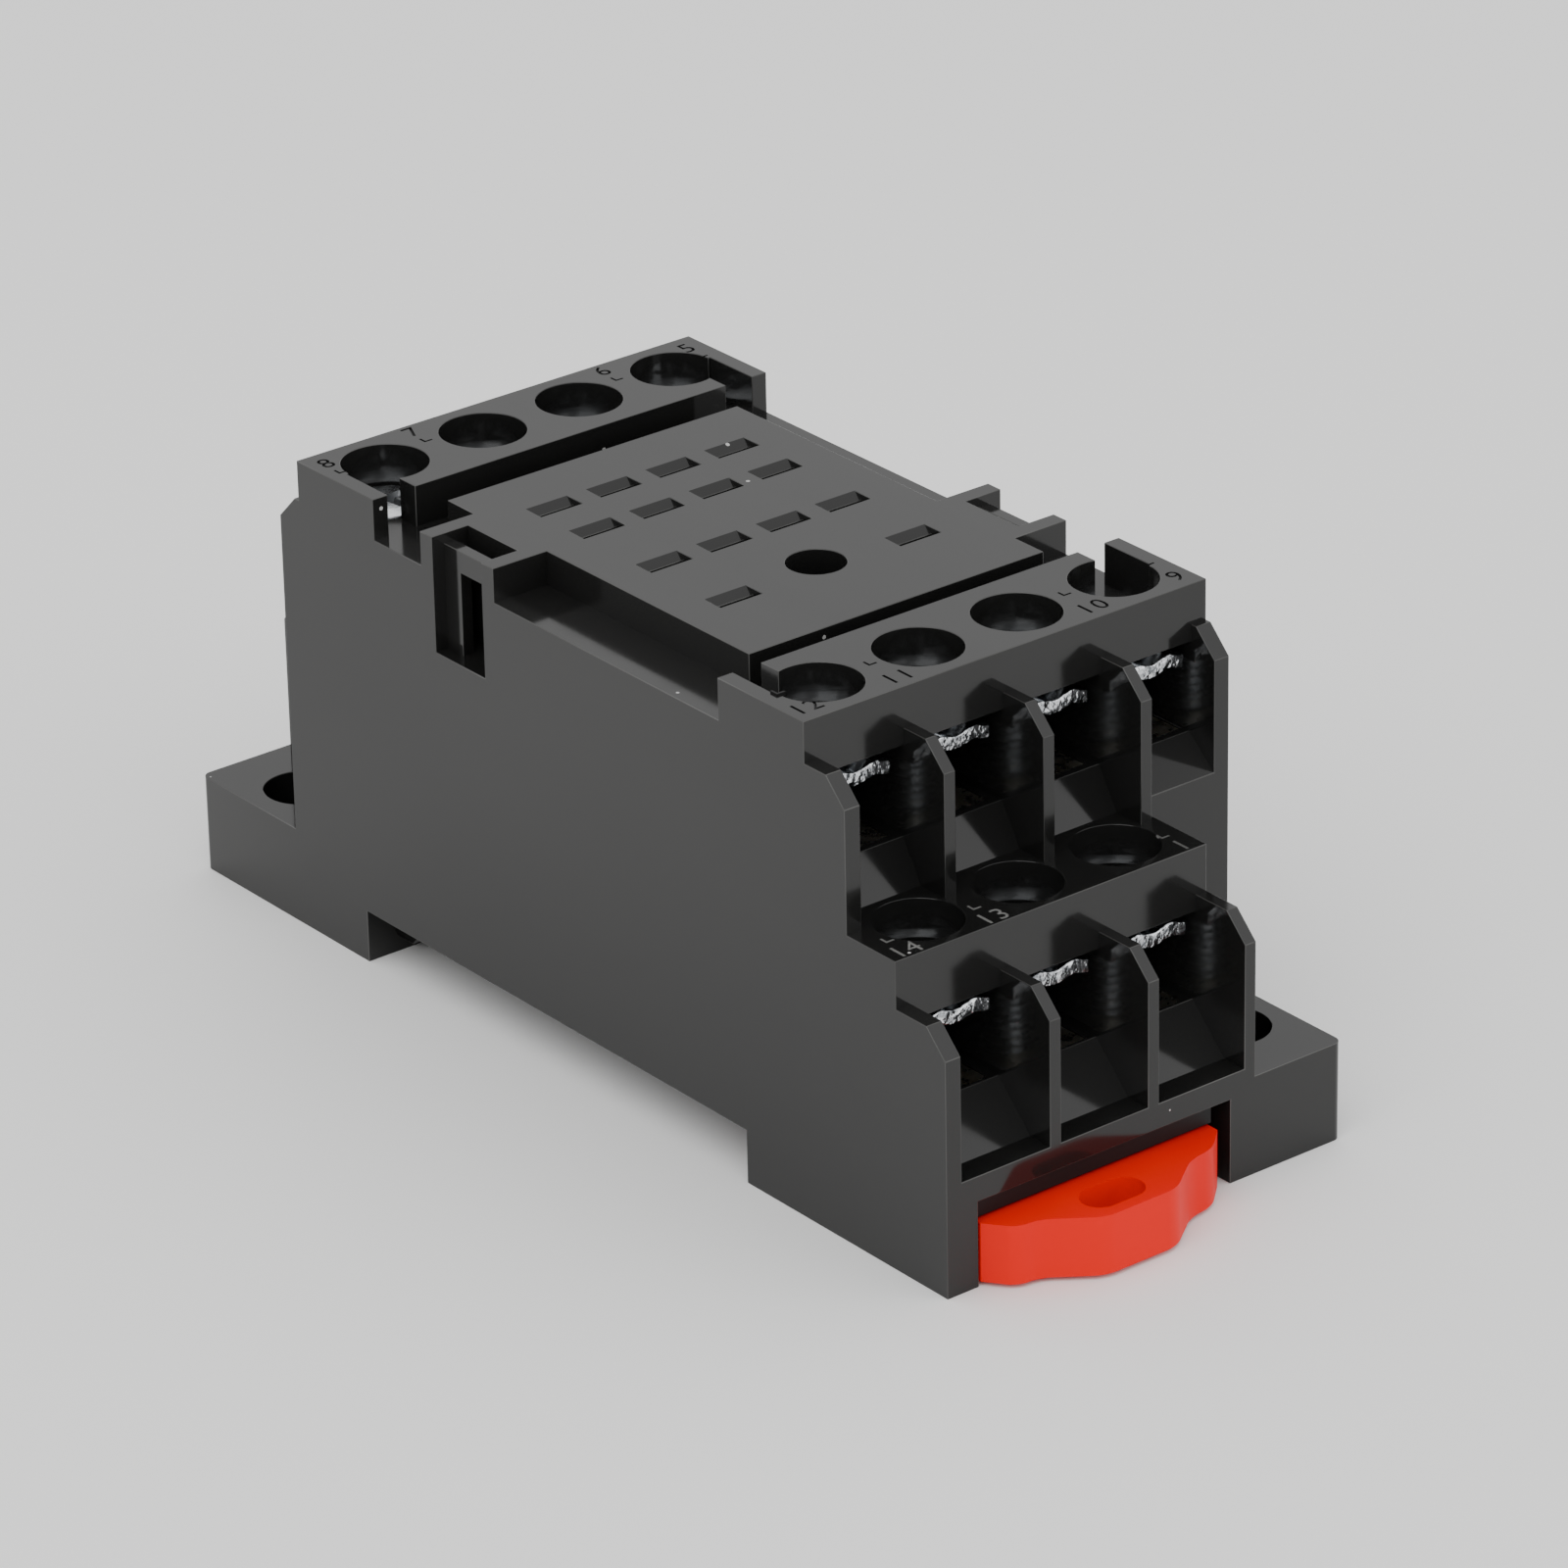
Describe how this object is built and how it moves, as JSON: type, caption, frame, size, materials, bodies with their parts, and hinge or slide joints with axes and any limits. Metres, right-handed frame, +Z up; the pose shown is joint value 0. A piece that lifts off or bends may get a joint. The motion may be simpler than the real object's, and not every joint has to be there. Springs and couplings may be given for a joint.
{
  "type": "relay socket",
  "caption": "Black relay socket with stepped rows of saddle-clamp screw terminals at both ends, blade slots, retainer ears and an orange clip for a standard mounting rail.",
  "frame": {"origin": "centre of the base, midway between the two fixing holes, on the mounting plane", "axes": "+X across the socket, +Y along it away from the rail clip, +Z up out of the mounting plane"},
  "size_m": [0.0294, 0.076, 0.0312],
  "materials": {
    "black_plastic": "satin gloss, moulded",
    "cover_plastic": "matt, moulded",
    "orange_plastic": "satin gloss, moulded",
    "tinned_brass": "tin plated, stamped",
    "zinc_clamp": "bright zinc, stamped",
    "zinc_screw": "bright zinc, rolled"
  },
  "bodies": {
    "socket": {"housing": "black_plastic", "bottom_cover": "cover_plastic", "contact_front_upper_1": "tinned_brass", "contact_front_upper_2": "tinned_brass", "contact_front_upper_3": "tinned_brass", "contact_front_upper_4": "tinned_brass", "contact_front_lower_1": "tinned_brass", "contact_front_lower_2": "tinned_brass", "contact_front_lower_3": "tinned_brass", "contact_back_upper_1": "tinned_brass", "contact_back_upper_2": "tinned_brass", "contact_back_upper_3": "tinned_brass", "contact_back_upper_4": "tinned_brass", "contact_back_lower_1": "tinned_brass", "contact_back_lower_2": "tinned_brass", "contact_back_lower_3": "tinned_brass"},
    "rail_clip": {"din_clip": "orange_plastic"},
    "clamp_front_upper_1": {"clamp_front_upper_1": "zinc_clamp"},
    "screw_front_upper_1": {"screw_front_upper_1": "zinc_screw"},
    "clamp_front_upper_2": {"clamp_front_upper_2": "zinc_clamp"},
    "screw_front_upper_2": {"screw_front_upper_2": "zinc_screw"},
    "clamp_front_upper_3": {"clamp_front_upper_3": "zinc_clamp"},
    "screw_front_upper_3": {"screw_front_upper_3": "zinc_screw"},
    "clamp_front_upper_4": {"clamp_front_upper_4": "zinc_clamp"},
    "screw_front_upper_4": {"screw_front_upper_4": "zinc_screw"},
    "clamp_front_lower_1": {"clamp_front_lower_1": "zinc_clamp"},
    "screw_front_lower_1": {"screw_front_lower_1": "zinc_screw"},
    "clamp_front_lower_2": {"clamp_front_lower_2": "zinc_clamp"},
    "screw_front_lower_2": {"screw_front_lower_2": "zinc_screw"},
    "clamp_front_lower_3": {"clamp_front_lower_3": "zinc_clamp"},
    "screw_front_lower_3": {"screw_front_lower_3": "zinc_screw"},
    "clamp_back_upper_1": {"clamp_back_upper_1": "zinc_clamp"},
    "screw_back_upper_1": {"screw_back_upper_1": "zinc_screw"},
    "clamp_back_upper_2": {"clamp_back_upper_2": "zinc_clamp"},
    "screw_back_upper_2": {"screw_back_upper_2": "zinc_screw"},
    "clamp_back_upper_3": {"clamp_back_upper_3": "zinc_clamp"},
    "screw_back_upper_3": {"screw_back_upper_3": "zinc_screw"},
    "clamp_back_upper_4": {"clamp_back_upper_4": "zinc_clamp"},
    "screw_back_upper_4": {"screw_back_upper_4": "zinc_screw"},
    "clamp_back_lower_1": {"clamp_back_lower_1": "zinc_clamp"},
    "screw_back_lower_1": {"screw_back_lower_1": "zinc_screw"},
    "clamp_back_lower_2": {"clamp_back_lower_2": "zinc_clamp"},
    "screw_back_lower_2": {"screw_back_lower_2": "zinc_screw"},
    "clamp_back_lower_3": {"clamp_back_lower_3": "zinc_clamp"},
    "screw_back_lower_3": {"screw_back_lower_3": "zinc_screw"}
  },
  "joints": [
    {"name": "rail_clip_slide", "type": "slide", "parent": "socket", "child": "rail_clip", "axis": [0, -1, 0], "range_m": [0, 0.003], "stiffness_N_per_m": 900},
    {"name": "clamp_front_upper_1_lower", "type": "slide", "parent": "socket", "child": "clamp_front_upper_1", "axis": [0, 0, -1], "range_m": [0, 0.0038]},
    {"name": "screw_front_upper_1_turn", "type": "hinge", "parent": "clamp_front_upper_1", "child": "screw_front_upper_1", "pos_m": [-0.0108, -0.02045, 0.022], "axis": [0, 0, -1], "range_deg": [0, 2736]},
    {"name": "clamp_front_upper_2_lower", "type": "slide", "parent": "socket", "child": "clamp_front_upper_2", "axis": [0, 0, -1], "range_m": [0, 0.0038]},
    {"name": "screw_front_upper_2_turn", "type": "hinge", "parent": "clamp_front_upper_2", "child": "screw_front_upper_2", "pos_m": [-0.0036, -0.02045, 0.022], "axis": [0, 0, -1], "range_deg": [0, 2736]},
    {"name": "clamp_front_upper_3_lower", "type": "slide", "parent": "socket", "child": "clamp_front_upper_3", "axis": [0, 0, -1], "range_m": [0, 0.0038]},
    {"name": "screw_front_upper_3_turn", "type": "hinge", "parent": "clamp_front_upper_3", "child": "screw_front_upper_3", "pos_m": [0.0036, -0.02045, 0.022], "axis": [0, 0, -1], "range_deg": [0, 2736]},
    {"name": "clamp_front_upper_4_lower", "type": "slide", "parent": "socket", "child": "clamp_front_upper_4", "axis": [0, 0, -1], "range_m": [0, 0.0038]},
    {"name": "screw_front_upper_4_turn", "type": "hinge", "parent": "clamp_front_upper_4", "child": "screw_front_upper_4", "pos_m": [0.0108, -0.02045, 0.022], "axis": [0, 0, -1], "range_deg": [0, 2736]},
    {"name": "clamp_front_lower_1_lower", "type": "slide", "parent": "socket", "child": "clamp_front_lower_1", "axis": [0, 0, -1], "range_m": [0, 0.00415]},
    {"name": "screw_front_lower_1_turn", "type": "hinge", "parent": "clamp_front_lower_1", "child": "screw_front_lower_1", "pos_m": [-0.0104, -0.0285, 0.0098], "axis": [0, 0, -1], "range_deg": [0, 2988]},
    {"name": "clamp_front_lower_2_lower", "type": "slide", "parent": "socket", "child": "clamp_front_lower_2", "axis": [0, 0, -1], "range_m": [0, 0.00415]},
    {"name": "screw_front_lower_2_turn", "type": "hinge", "parent": "clamp_front_lower_2", "child": "screw_front_lower_2", "pos_m": [-0.0032, -0.0285, 0.0098], "axis": [0, 0, -1], "range_deg": [0, 2988]},
    {"name": "clamp_front_lower_3_lower", "type": "slide", "parent": "socket", "child": "clamp_front_lower_3", "axis": [0, 0, -1], "range_m": [0, 0.00415]},
    {"name": "screw_front_lower_3_turn", "type": "hinge", "parent": "clamp_front_lower_3", "child": "screw_front_lower_3", "pos_m": [0.004, -0.0285, 0.0098], "axis": [0, 0, -1], "range_deg": [0, 2988]},
    {"name": "clamp_back_upper_1_lower", "type": "slide", "parent": "socket", "child": "clamp_back_upper_1", "axis": [0, 0, -1], "range_m": [0, 0.0038]},
    {"name": "screw_back_upper_1_turn", "type": "hinge", "parent": "clamp_back_upper_1", "child": "screw_back_upper_1", "pos_m": [0.0108, 0.02045, 0.022], "axis": [0, 0, -1], "range_deg": [0, 2736]},
    {"name": "clamp_back_upper_2_lower", "type": "slide", "parent": "socket", "child": "clamp_back_upper_2", "axis": [0, 0, -1], "range_m": [0, 0.0038]},
    {"name": "screw_back_upper_2_turn", "type": "hinge", "parent": "clamp_back_upper_2", "child": "screw_back_upper_2", "pos_m": [0.0036, 0.02045, 0.022], "axis": [0, 0, -1], "range_deg": [0, 2736]},
    {"name": "clamp_back_upper_3_lower", "type": "slide", "parent": "socket", "child": "clamp_back_upper_3", "axis": [0, 0, -1], "range_m": [0, 0.0038]},
    {"name": "screw_back_upper_3_turn", "type": "hinge", "parent": "clamp_back_upper_3", "child": "screw_back_upper_3", "pos_m": [-0.0036, 0.02045, 0.022], "axis": [0, 0, -1], "range_deg": [0, 2736]},
    {"name": "clamp_back_upper_4_lower", "type": "slide", "parent": "socket", "child": "clamp_back_upper_4", "axis": [0, 0, -1], "range_m": [0, 0.0038]},
    {"name": "screw_back_upper_4_turn", "type": "hinge", "parent": "clamp_back_upper_4", "child": "screw_back_upper_4", "pos_m": [-0.0108, 0.02045, 0.022], "axis": [0, 0, -1], "range_deg": [0, 2736]},
    {"name": "clamp_back_lower_1_lower", "type": "slide", "parent": "socket", "child": "clamp_back_lower_1", "axis": [0, 0, -1], "range_m": [0, 0.00415]},
    {"name": "screw_back_lower_1_turn", "type": "hinge", "parent": "clamp_back_lower_1", "child": "screw_back_lower_1", "pos_m": [0.0104, 0.0285, 0.0098], "axis": [0, 0, -1], "range_deg": [0, 2988]},
    {"name": "clamp_back_lower_2_lower", "type": "slide", "parent": "socket", "child": "clamp_back_lower_2", "axis": [0, 0, -1], "range_m": [0, 0.00415]},
    {"name": "screw_back_lower_2_turn", "type": "hinge", "parent": "clamp_back_lower_2", "child": "screw_back_lower_2", "pos_m": [0.0032, 0.0285, 0.0098], "axis": [0, 0, -1], "range_deg": [0, 2988]},
    {"name": "clamp_back_lower_3_lower", "type": "slide", "parent": "socket", "child": "clamp_back_lower_3", "axis": [0, 0, -1], "range_m": [0, 0.00415]},
    {"name": "screw_back_lower_3_turn", "type": "hinge", "parent": "clamp_back_lower_3", "child": "screw_back_lower_3", "pos_m": [-0.004, 0.0285, 0.0098], "axis": [0, 0, -1], "range_deg": [0, 2988]}
  ],
  "couplings": [
    {"joint": "screw_front_upper_1_turn", "follows": "clamp_front_upper_1_lower", "rad_per_m": 12566},
    {"joint": "screw_front_upper_2_turn", "follows": "clamp_front_upper_2_lower", "rad_per_m": 12566},
    {"joint": "screw_front_upper_3_turn", "follows": "clamp_front_upper_3_lower", "rad_per_m": 12566},
    {"joint": "screw_front_upper_4_turn", "follows": "clamp_front_upper_4_lower", "rad_per_m": 12566},
    {"joint": "screw_front_lower_1_turn", "follows": "clamp_front_lower_1_lower", "rad_per_m": 12566},
    {"joint": "screw_front_lower_2_turn", "follows": "clamp_front_lower_2_lower", "rad_per_m": 12566},
    {"joint": "screw_front_lower_3_turn", "follows": "clamp_front_lower_3_lower", "rad_per_m": 12566},
    {"joint": "screw_back_upper_1_turn", "follows": "clamp_back_upper_1_lower", "rad_per_m": 12566},
    {"joint": "screw_back_upper_2_turn", "follows": "clamp_back_upper_2_lower", "rad_per_m": 12566},
    {"joint": "screw_back_upper_3_turn", "follows": "clamp_back_upper_3_lower", "rad_per_m": 12566},
    {"joint": "screw_back_upper_4_turn", "follows": "clamp_back_upper_4_lower", "rad_per_m": 12566},
    {"joint": "screw_back_lower_1_turn", "follows": "clamp_back_lower_1_lower", "rad_per_m": 12566},
    {"joint": "screw_back_lower_2_turn", "follows": "clamp_back_lower_2_lower", "rad_per_m": 12566},
    {"joint": "screw_back_lower_3_turn", "follows": "clamp_back_lower_3_lower", "rad_per_m": 12566}
  ]
}
